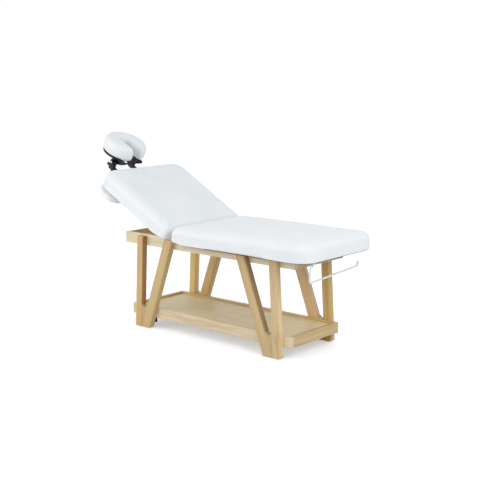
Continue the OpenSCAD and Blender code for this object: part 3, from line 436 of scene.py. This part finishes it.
def zinc_plate(name):
    """Bright zinc plate, faintly brushed and clouded."""
    zinc = Finish(name)
    brushed = zinc.noise(zinc.place(stretch=(30.0, 900.0, 900.0)), detail=3.0, rough=0.6)
    cloud = zinc.cells(zinc.place(), 130.0)
    zinc.colour(zinc.ramp(cloud, (0.0, (0.50, 0.51, 0.53)), (0.8, (0.68, 0.69, 0.71))))
    strokes = zinc.spread(brushed, to=(0.22, 0.40))
    zinc.roughness(zinc.calc("ADD", strokes, zinc.spread(cloud, to=(-0.04, 0.06))))
    zinc.set(Metallic=1.0)
    zinc.bump((brushed, 0.16, 0.0002))
    return zinc.material


# Working with a mesh as by hand

# Points closer than this are at the same place
TOUCH = 1e-4


def only(item):
    """Leaves edit mode and selects this object alone."""
    if bpy.context.object and bpy.context.object.mode != "OBJECT":
        bpy.ops.object.mode_set(mode="OBJECT")
    bpy.ops.object.select_all(action="DESELECT")
    item.select_set(True)
    bpy.context.view_layer.objects.active = item


def edit(item):
    only(item)
    bpy.ops.object.mode_set(mode="EDIT")


def done():
    bpy.ops.object.mode_set(mode="OBJECT")


def choose(item, kind, test):
    """In edit mode, selects the edges or faces that pass the test."""
    bpy.ops.mesh.select_mode(type=kind)
    bpy.ops.mesh.select_all(action="DESELECT")
    shell = bmesh.from_edit_mesh(item.data)
    for part in {"EDGE": shell.edges, "FACE": shell.faces}[kind]:
        if test(part):
            part.select_set(True)
    shell.select_flush_mode()
    bmesh.update_edit_mesh(item.data)


def settle(item, place):
    """Puts a piece that was drawn flat where it belongs, and leaves its object at the origin."""
    only(item)
    item.matrix_world = place @ item.matrix_world
    bpy.ops.object.transform_apply(location=True, rotation=True, scale=True)


def dress(item, material):
    item.data.materials.clear()
    item.data.materials.append(material)


def use_modifier(item, kind, **settings):
    only(item)
    made = item.modifiers.new(kind.lower(), kind)
    for key, value in settings.items():
        setattr(made, key, value)
    bpy.ops.object.modifier_apply(modifier=made.name)


def remesh(item, voxel):
    use_modifier(item, "REMESH", mode="VOXEL", voxel_size=voxel, adaptivity=0.0)


def smooth(item, times):
    use_modifier(item, "SMOOTH", factor=0.5, iterations=times)


def cut_out(item, cutter, operation="DIFFERENCE"):
    use_modifier(item, "BOOLEAN", operation=operation, object=cutter, solver="EXACT")
    bpy.data.objects.remove(cutter)


def solid_block(name, x, y, z):
    """A cube drawn at its size and place, ready to be shaped."""
    middle = ((x[0] + x[1]) / 2, (y[0] + y[1]) / 2, (z[0] + z[1]) / 2)
    bpy.ops.object.select_all(action="DESELECT")
    bpy.ops.mesh.primitive_cube_add(size=1.0, location=middle)
    item = bpy.context.object
    item.name = name
    item.data.name = name
    item.scale = (x[1] - x[0], y[1] - y[0], z[1] - z[0])
    bpy.ops.object.transform_apply(location=True, rotation=True, scale=True)
    return item


def oval_post(name, at_x, length, width, z):
    """An upright oval drawn at its size and place."""
    middle = (at_x, 0.0, (z[0] + z[1]) / 2)
    bpy.ops.object.select_all(action="DESELECT")
    bpy.ops.mesh.primitive_cylinder_add(vertices=64, radius=0.5, depth=z[1] - z[0], location=middle)
    item = bpy.context.object
    item.name = name
    item.scale = (length, width, 1.0)
    bpy.ops.object.transform_apply(location=True, rotation=True, scale=True)
    return item


def upright(edge):
    a, b = edge.verts
    return abs(a.co.z - b.co.z) > 0.5 * (b.co - a.co).length


def lies_at(edge, height):
    a, b = edge.verts
    return abs(a.co.z - height) < TOUCH and abs(b.co.z - height) < TOUCH


def round_corners(item, end, radius):
    """Rounds the two upright corners at one end in plan."""
    choose(item, "EDGE", lambda e: upright(e) and abs(e.verts[0].co.x - end) < TOUCH)
    bpy.ops.mesh.bevel(offset=radius, segments=10, affect="EDGES")


def soften_rim(item, height, facing, radius, segments):
    """Rounds the edge round a flat side, which faces up for 1 and down for -1."""

    def at_rim(edge):
        return lies_at(edge, height) and any(face.normal.z * facing < 0.5 for face in edge.link_faces)

    choose(item, "EDGE", at_rim)
    bpy.ops.mesh.bevel(offset=radius, segments=segments, affect="EDGES")


def covered(value, reach):
    """How much of a reach the value has covered, from 0 to 1."""
    return min(1.0, max(0.0, value / reach))


# Cushions

# Where the cushions' solids end: the leg section's from the leg frame's middle, the others' from the hinge
LEG_ENDS = (-0.211, 0.866)
BACK_ENDS = (-0.704, -0.004)
ARM_ENDS = (-0.747, -0.542)
CUSHION_W = 0.718
ARM_W = 0.650
# The blocks of the two large cushions lie this much further from the hinge, and are this much wider
OFF_HINGE = 0.0015
COVER_WIDER = 0.001
# The arm pad's block starts this much smaller on each side, because its cover swells
ARM_IN = 0.002
UNDER_ROUND = 0.006

# A block before its cover swells: where it lies, the radii of its corners at both ends and of its top edge,
# the fineness of its mesh, how high it is crowned, how far its sides are drawn in, how far the cover may
# swell, and the height of the band above its underside that is held
Block = namedtuple("Block", "name x w z corners edge voxel crown draw_in swell held")

LEG_BLOCK = Block(
    "leg_pad", x=(LEG_ENDS[0] + OFF_HINGE, LEG_ENDS[1] + OFF_HINGE), w=CUSHION_W + COVER_WIDER,
    z=(RAIL_TOP + 0.0005, RAIL_TOP + 0.0965), corners=(0.036, 0.105), edge=0.042,
    voxel=0.0105, crown=0.006, draw_in=0.003, swell=0.006, held=0.012,
)
BACK_BLOCK = Block(
    "back_pad", x=(BACK_ENDS[0] - OFF_HINGE, BACK_ENDS[1] - OFF_HINGE), w=CUSHION_W + COVER_WIDER,
    z=(0.0075, 0.1035), corners=(0.098, 0.032), edge=0.042,
    voxel=0.0085, crown=0.006, draw_in=0.003, swell=0.006, held=0.012,
)
ARM_BLOCK = Block(
    "arm_pad_cover", x=(ARM_ENDS[0] + ARM_IN, ARM_ENDS[1] - ARM_IN), w=ARM_W - 2 * ARM_IN,
    z=(-0.0884, -0.0440), corners=(0.079, 0.079), edge=0.020,
    voxel=0.0065, crown=0.003, draw_in=0.0, swell=0.004, held=0.010,
)

# The cover as cloth that is blown up from inside
COVER = {
    "use_pressure": True, "uniform_pressure_force": 4.0, "mass": 0.02, "quality": 5,
    "tension_stiffness": 12, "compression_stiffness": 12, "shear_stiffness": 5, "bending_stiffness": 0.8,
    "vertex_group_mass": "held",
}
COVER_FRAMES = 20
# A point of the cover that moved less than this stays where it was
STILL = 1e-9


def rounded_block(block):
    """A block rounded in plan at each end and softened round its top and bottom."""
    item = solid_block(block.name, block.x, (-block.w / 2, block.w / 2), block.z)
    edit(item)
    for end, radius in zip(block.x, block.corners):
        round_corners(item, end, radius)
    soften_rim(item, block.z[1], 1, block.edge, segments=7)
    soften_rim(item, block.z[0], -1, UNDER_ROUND, segments=3)
    done()
    return item


def along_and_across(p, block):
    """Where a point lies in plan, from -1 to 1 along the block and across it."""
    along = (2 * p.x - block.x[0] - block.x[1]) / (block.x[1] - block.x[0])
    return along, 2 * p.y / block.w


def crown_up(item, block):
    """Raises the top in a low dome before the cover goes on. The lowest band stays flat."""
    flat_band = 0.02
    for vertex in item.data.vertices:
        p = vertex.co
        if p.z > block.z[0] + flat_band:
            along, across = along_and_across(p, block)
            dome = max(0.0, 1 - along ** 4) * max(0.0, 1 - across * across)
            p.z += block.crown * dome * (p.z - block.z[0]) / (block.z[1] - block.z[0])


def draw_in_sides(item, block):
    """Pulls the long and short sides in a little between the corners."""
    # The pull starts at the first share of the half width or half length, and grows over the second
    side_from, side_band = 0.75, 0.25
    end_from, end_band = 0.85, 0.15
    middle = (block.x[0] + block.x[1]) / 2
    for vertex in item.data.vertices:
        p = vertex.co
        along, across = along_and_across(p, block)
        if abs(across) > side_from:
            pull = math.copysign(block.draw_in, p.y) * max(0.0, 1 - along * along)
            p.y -= pull * (abs(across) - side_from) / side_band
        if abs(along) > end_from:
            pull = math.copysign(block.draw_in, p.x - middle) * max(0.0, 1 - across * across)
            p.x -= pull * (abs(along) - end_from) / end_band


def swell_cover(item):
    """Runs the cover as cloth and keeps its last shape."""
    only(item)
    cloth = item.modifiers.new("cover", "CLOTH")
    for key, value in COVER.items():
        setattr(cloth.settings, key, value)
    cloth.settings.effector_weights.gravity = 0.0
    cloth.collision_settings.use_collision = False
    cloth.point_cache.frame_start = 1
    cloth.point_cache.frame_end = COVER_FRAMES
    for step in range(1, COVER_FRAMES + 1):
        scene.frame_set(step)
    bpy.ops.object.modifier_apply(modifier=cloth.name)
    scene.frame_set(1)


def fill_with_foam(item, voxel, swell, held_below, lowest):
    """Stretches the cover over its foam. It is held near its underside, and swells only so far."""
    remesh(item, voxel)
    smooth(item, 3)
    before = [v.co.copy() for v in item.data.vertices]
    fixed = item.vertex_groups.new(name="held")
    fixed.add([v.index for v in item.data.vertices if v.co.z < held_below], 1.0, "REPLACE")
    swell_cover(item)
    for vertex, start in zip(item.data.vertices, before):
        step = vertex.co - start
        far = step.length
        if far > STILL:
            vertex.co = start + step * (swell * math.tanh(far / swell) / far)
        if vertex.co.z < lowest:
            vertex.co.z = lowest
    item.vertex_groups.clear()
    smooth(item, 2)
    use_modifier(item, "SUBSURF", levels=1, render_levels=1)
    only(item)
    bpy.ops.object.shade_smooth()


def padded_block(block):
    pad = rounded_block(block)
    remesh(pad, block.voxel)
    crown_up(pad, block)
    draw_in_sides(pad, block)
    fill_with_foam(pad, block.voxel, block.swell, block.z[0] + block.held, block.z[0])
    return pad


# How far the rims hang, how far in from the outline they start, and the reach over which they come down
RIM_HANG = 0.0085
RIM_IN = 0.0135
RIM_STEP = 0.0050
# Up to RIM_ROUND above the underside, the soft edge is also pressed flat by RIM_PRESS of its height.
# Above that, the fall fades out over RIM_FADE.
RIM_ROUND = 0.014
RIM_PRESS = 0.85
RIM_FADE = 0.050
# The rims start to hang this far from the hinge and grow over the next reach, and beside a level stretch
# they grow over LEVEL_STEP
RIM_START = 0.030
RIM_START_STEP = 0.080
LEVEL_STEP = 0.040


def hang_rims(item, block, hinge_end, away, level=None):
    """Lets the rim outside the board hang.

    away is the direction from the hinge end along X. level is the half width of the stretch in the
    middle that doesn't hang, if there is one.
    """
    # The corners away from the hinge are the rounder ones
    radius = max(block.corners)
    middle = (block.x[0] + block.x[1]) / 2
    half_length, half_width = (block.x[1] - block.x[0]) / 2, block.w / 2
    for vertex in item.data.vertices:
        p = vertex.co
        past_x = abs(p.x - middle) - half_length + radius
        past_y = abs(p.y) - half_width + radius
        outside = math.hypot(max(past_x, 0.0), max(past_y, 0.0)) + min(max(past_x, past_y), 0.0) - radius
        rim = covered(outside + RIM_IN, RIM_STEP)
        start = covered((p.x - hinge_end) * away - RIM_START, RIM_START_STEP)
        side = 1.0 if level is None else covered(abs(p.y) - level, LEVEL_STEP)
        height = max(0.0, p.z - block.z[0])
        if height < RIM_ROUND:
            fall = RIM_HANG + RIM_PRESS * height
        else:
            fall = (RIM_HANG + RIM_PRESS * RIM_ROUND) * (1.0 - covered(height - RIM_ROUND, RIM_FADE))
        p.z -= fall * rim * start * side


def leg_cushion():
    pad = padded_block(LEG_BLOCK)
    hang_rims(pad, LEG_BLOCK, hinge_end=LEG_ENDS[0], away=1.0)
    settle(pad, TABLE_PLACE)
    return pad


# The painted shadow tape's outline, its top, and where it stops short of the hinges
TAPE_X = (-0.200, 0.8590)
TAPE_ACROSS = 0.704
TAPE_CORNER = 0.098
TAPE_TOP = RAIL_TOP - 0.0078
TAPE_THICK = 0.0012
TAPE_W = 0.0090
TAPE_START = -0.100


def painted_shadow_hem_tape():
    """A thin dark tape under the leg section's hanging rim, where the cover is stapled: a painted shadow
    line.
    """
    z = (TAPE_TOP - TAPE_THICK, TAPE_TOP)
    item = solid_block("painted_shadow_hem_tape", TAPE_X, (-TAPE_ACROSS / 2, TAPE_ACROSS / 2), z)
    edit(item)
    round_corners(item, TAPE_X[1], TAPE_CORNER)
    choose(item, "FACE", lambda f: abs(f.normal.z) > 0.9)
    bpy.ops.mesh.inset(thickness=TAPE_W)
    bpy.ops.mesh.bridge_edge_loops()
    bpy.ops.mesh.select_all(action="SELECT")
    bpy.ops.mesh.bisect(
        plane_co=(TAPE_START, 0.0, 0.0), plane_no=(-1.0, 0.0, 0.0), use_fill=True, clear_outer=True,
    )
    bpy.ops.mesh.select_all(action="SELECT")
    bpy.ops.mesh.normals_make_consistent(inside=False)
    done()
    settle(item, TABLE_PLACE)
    return item


# The face hole's middle along the backrest, its length and its width
FACE_HOLE = (-0.552, 0.216, 0.152)
# How much smaller the hole and the plug are cut than that, which leaves the gap of the seam
HOLE_IN = 0.0002
PLUG_IN = 0.0011
# The hole's cutter passes through, and the plug's starts at the plug's underside
HOLE_Z = (-0.05, 0.2)
PLUG_Z = (0.0290, 0.2)
# Near the seam and above a height, the cover is drawn down, and over a wider band its mesh is finer
SEAM_REACH = 0.016
SEAM_DEPTH = 0.0032
SEAM_ABOVE = 0.085
SEAM_FINE = 0.022
SEAM_FINE_ABOVE = 0.09
# Half the width of the stretch over the arm shelf, where the head end's rim doesn't hang
HEAD_LEVEL = 0.275


def from_seam(p):
    """How far a point is from the outline of the face hole in plan."""
    at_x, length, width = FACE_HOLE
    out = math.hypot((p.x - at_x) / (length / 2), p.y / (width / 2))
    return abs(out - 1) * (length + width) / 4


def near_seam(face):
    middle = face.calc_center_median()
    return middle.z > SEAM_FINE_ABOVE and from_seam(middle) < SEAM_FINE


def soften_seam(item):
    """Draws the cover down along the seam of the face hole, on both sides of it."""
    for vertex in item.data.vertices:
        p = vertex.co
        if p.z < SEAM_ABOVE:
            continue
        away = from_seam(p)
        if away < SEAM_REACH:
            p.z -= SEAM_DEPTH * (1 - away / SEAM_REACH) ** 2


def backrest_pads():
    """The backrest is padded as one block, and the plug of its face hole is cut out of it."""
    pad = padded_block(BACK_BLOCK)
    hang_rims(pad, BACK_BLOCK, hinge_end=BACK_ENDS[1], away=-1.0, level=HEAD_LEVEL)
    edit(pad)
    choose(pad, "FACE", near_seam)
    bpy.ops.mesh.subdivide(number_cuts=2, quadcorner="INNERVERT")
    done()
    plug = pad.copy()
    plug.data = pad.data.copy()
    plug.name = plug.data.name = "face_plug_pad"
    scene.collection.objects.link(plug)
    at_x, length, width = FACE_HOLE
    cut_out(pad, oval_post("face_hole", at_x, length - HOLE_IN, width - HOLE_IN, HOLE_Z))
    side = oval_post("face_plug_side", at_x, length - PLUG_IN, width - PLUG_IN, PLUG_Z)
    cut_out(plug, side, "INTERSECT")
    for part in (pad, plug):
        soften_seam(part)
        settle(part, BACK_PLACE)
        bpy.ops.object.shade_smooth_by_angle(angle=math.radians(45))
    return pad, plug


# The cradle's pad lies here from its pivot. Its slot has a round end, and widens towards the table.
CRADLE_PAD_AT = (-0.030, 0.0, 0.096)
CRADLE_LENGTH = 0.2940
CRADLE_WIDTH = 0.2980
CRADLE_Z = (-0.0463, 0.0530)
CRADLE_TOP_ROUND = 0.032
CRADLE_UNDER_ROUND = 0.020
SLOT_X = (-0.012, 0.200)
SLOT_HALF = 0.026
SLOT_WIDENS = 1.45
THROUGH = (-0.1, 0.1)
# The corners of the slot's mouth lie past MOUTH_FROM along X, and closer to the middle than MOUTH_HALF
MOUTH_FROM = 0.12
MOUTH_HALF = 0.038
MOUTH_ROUND = 0.012
CRADLE_VOXEL = 0.0050
CRADLE_SMOOTHING = 55
CRADLE_SWELL = 0.005
CRADLE_HELD_BELOW = -0.040


def at_mouth(edge):
    spot = edge.verts[0].co
    return upright(edge) and spot.x > MOUTH_FROM and abs(spot.y) < MOUTH_HALF


def cradle_blank():
    """A thick oval pad with a slot for the face, open towards the table."""
    pad = oval_post("cradle_pad", 0.0, CRADLE_LENGTH, CRADLE_WIDTH, CRADLE_Z)
    slot = solid_block("cradle_slot", SLOT_X, (-SLOT_HALF, SLOT_HALF), THROUGH)
    edit(slot)
    choose(slot, "FACE", lambda f: f.normal.x > 0.9)
    bpy.ops.transform.resize(value=(1.0, SLOT_WIDENS, 1.0), center_override=(SLOT_X[1], 0.0, 0.0))
    done()
    cut_out(pad, slot)
    cut_out(pad, oval_post("cradle_slot_end", SLOT_X[0], 2 * SLOT_HALF, 2 * SLOT_HALF, THROUGH))
    edit(pad)
    choose(pad, "EDGE", at_mouth)
    bpy.ops.mesh.bevel(offset=MOUTH_ROUND, segments=4, affect="EDGES")
    soften_rim(pad, CRADLE_Z[1], 1, CRADLE_TOP_ROUND, segments=7)
    soften_rim(pad, CRADLE_Z[0], -1, CRADLE_UNDER_ROUND, segments=4)
    done()
    return pad


def cradle_cushion():
    pad = cradle_blank()
    remesh(pad, CRADLE_VOXEL)
    smooth(pad, CRADLE_SMOOTHING)
    fill_with_foam(pad, CRADLE_VOXEL, CRADLE_SWELL, CRADLE_HELD_BELOW, CRADLE_Z[0])
    settle(pad, CRADLE_PLACE @ Matrix.Translation(CRADLE_PAD_AT))
    return pad


def arm_cushion():
    pad = padded_block(ARM_BLOCK)
    settle(pad, BACK_PLACE)
    return pad


# The frame's finishes

# How each timber's colour departs from the rest: partly as boards from different trees do, and partly
# painted shade and light by how much light it gets, as the head rail is darkened in the backrest's shade
TIMBER_TONES_AND_PAINTED_SHADE = {
    "side_rail_near": (1.20, 1.42, 1.95), "side_rail_far": (0.84, 0.80, 0.70),
    "head_rail": (0.90, 0.84, 0.66), "foot_rail": (0.95, 0.96, 0.98),
    "hinge_rail": (0.95, 0.95, 0.90), "middle_rail": (0.97, 0.95, 0.92),
    "post_head_near": (0.99, 0.87, 0.71), "strut_head_near": (0.97, 1.00, 0.94),
    "post_head_far": (1.17, 1.22, 0.94), "strut_head_far": (1.03, 0.99, 0.88),
    "post_foot_near": (0.95, 0.96, 1.02), "strut_foot_near": (0.92, 0.91, 0.88),
    "post_foot_far": (0.94, 0.90, 0.62), "strut_foot_far": (1.10, 1.11, 1.20),
    "leg_webs": (0.88, 0.86, 0.80),
    "shelf_rail_near": (1.11, 1.23, 1.60), "shelf_rail_far": (0.96, 0.92, 0.82),
    "shelf_rail_head": (1.02, 1.00, 0.94), "shelf_rail_foot": (0.92, 0.92, 0.90),
    "cradle_block": (0.95, 0.92, 0.86),
}
# Painted shade and light on the side that faces the foot end, against the rest of the timber
PAINTED_FOOT_SIDE_LIGHT = {
    # Darker where that side lies in shade under the table, lighter where the foot-end lamp falls on it
    "post_head_near": (0.60, 0.46, 0.36),
    "strut_foot_near": (0.64, 0.57, 0.50),
    "post_foot_near": (1.20, 1.24, 1.24),
}
# Each timber is cut from another place in the wood, this far on from the last one
NEXT_CUT = (0.37, 1.13, 0.71)
# How far the top of a post and of a strut stands from its foot along X, over its height, in millimetres
POST_LEAN = math.degrees(math.atan(35 / 620))
STRUT_LEAN = math.degrees(math.atan(227 / 620))


def upright_grain(lean, head):
    """Turns the grain from X to a timber that leans towards the middle of the table."""
    tilt = 90 - lean if head else 90 + lean
    return (0.0, math.radians(tilt), 0.0)


def grain_turn(name):
    """The turn that brings a timber's length onto X."""
    if name.startswith(("post", "strut")):
        lean = POST_LEAN if name.startswith("post") else STRUT_LEAN
        return upright_grain(lean, "head" in name)
    if name == "leg_webs":
        return upright_grain(0.0, True)
    if name.startswith(("side_rail", "shelf_rail_near", "shelf_rail_far")):
        return (0.0, 0.0, 0.0)
    return (0.0, 0.0, math.radians(90))


def finish_nodes(material, *names):
    for name in names:
        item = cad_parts[name]
        if not item.material_slots:
            item.data.materials.append(material)
        for slot in item.material_slots:
            slot.material = material


def finish_frame():
    for number, (name, tone_and_painted_shade) in enumerate(TIMBER_TONES_AND_PAINTED_SHADE.items(), 1):
        move = tuple(step * number for step in NEXT_CUT)
        wood = lacquered_wood(f"wood_{name}", grain_turn(name), move, tone_and_painted_shade, PAINTED_FOOT_SIDE_LIGHT.get(name))
        finish_nodes(wood, name)
    finish_nodes(shelf_veneer("shelf_veneer"), "shelf_panel")
    finish_nodes(plywood("board_plywood"), "leg_board", "shelf_cleats")
    finish_nodes(plywood("back_plywood", (0.0, -BACK_ANGLE, 0.0)), "face_plug_base", "arm_board")
    finish_nodes(white_paint("white_faced_board", rough=0.5), "back_board")
    finish_nodes(
        black_coat("black_powder_coat"), "shelf_brackets", "cradle_post_near", "cradle_post_far",
        "cradle_crossbar", "cradle_arm_near", "cradle_arm_far",
    )
    finish_nodes(
        black_coat("black_moulding", rough=0.52, speck=800.0), "stay_knob_near", "stay_knob_far",
        "cradle_lever", "cradle_platform",
    )
    finish_nodes(
        zinc_plate("zinc_plate"), "frame_bolts", "hinge_leaves_fixed", "hinge_leaves_moving", "hinge_pins",
        "stay_near", "stay_far", "stay_washers", "cradle_axle", "arm_runner_near", "arm_runner_far",
        "arm_slider_near", "arm_slider_far",
    )
    finish_nodes(white_paint("white_rod"), "roll_rod")
    finish_nodes(white_paint("white_moulding", rough=0.45), "roll_bracket", "foot_glides")


# The table

place_camera()
studio()
floor()
finish_frame()

back_pad, plug_pad = backrest_pads()

for piece, node, body, fill in (
    (leg_cushion(), "leg_cushion", "table", 0.85),
    (back_pad, "back_cushion", "backrest", 0.85),
    (plug_pad, "face_plug_cushion", "face_plug", 0.85),
    (cradle_cushion(), "cradle_cushion", "cradle_head", 0.8),
    (arm_cushion(), "arm_pad", "arm_shelf", 0.8),
):
    # Painted light: the arm pad lies in the backrest's shade, so its hide is made a little paler to lift it
    dress(piece, white_hide(f"hide_{node}", painted_light_lift=1.12 if node == "arm_pad" else 1.0))
    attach(piece, body)
    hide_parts(node)

# A dark tape as painted shadow along the leg cushion's lower edge
tape = painted_shadow_hem_tape()
dress(tape, painted_shadow_cloth("painted_shadow_tape_cloth"))
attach(tape, "table")

scene.view_settings.view_transform = "Standard"
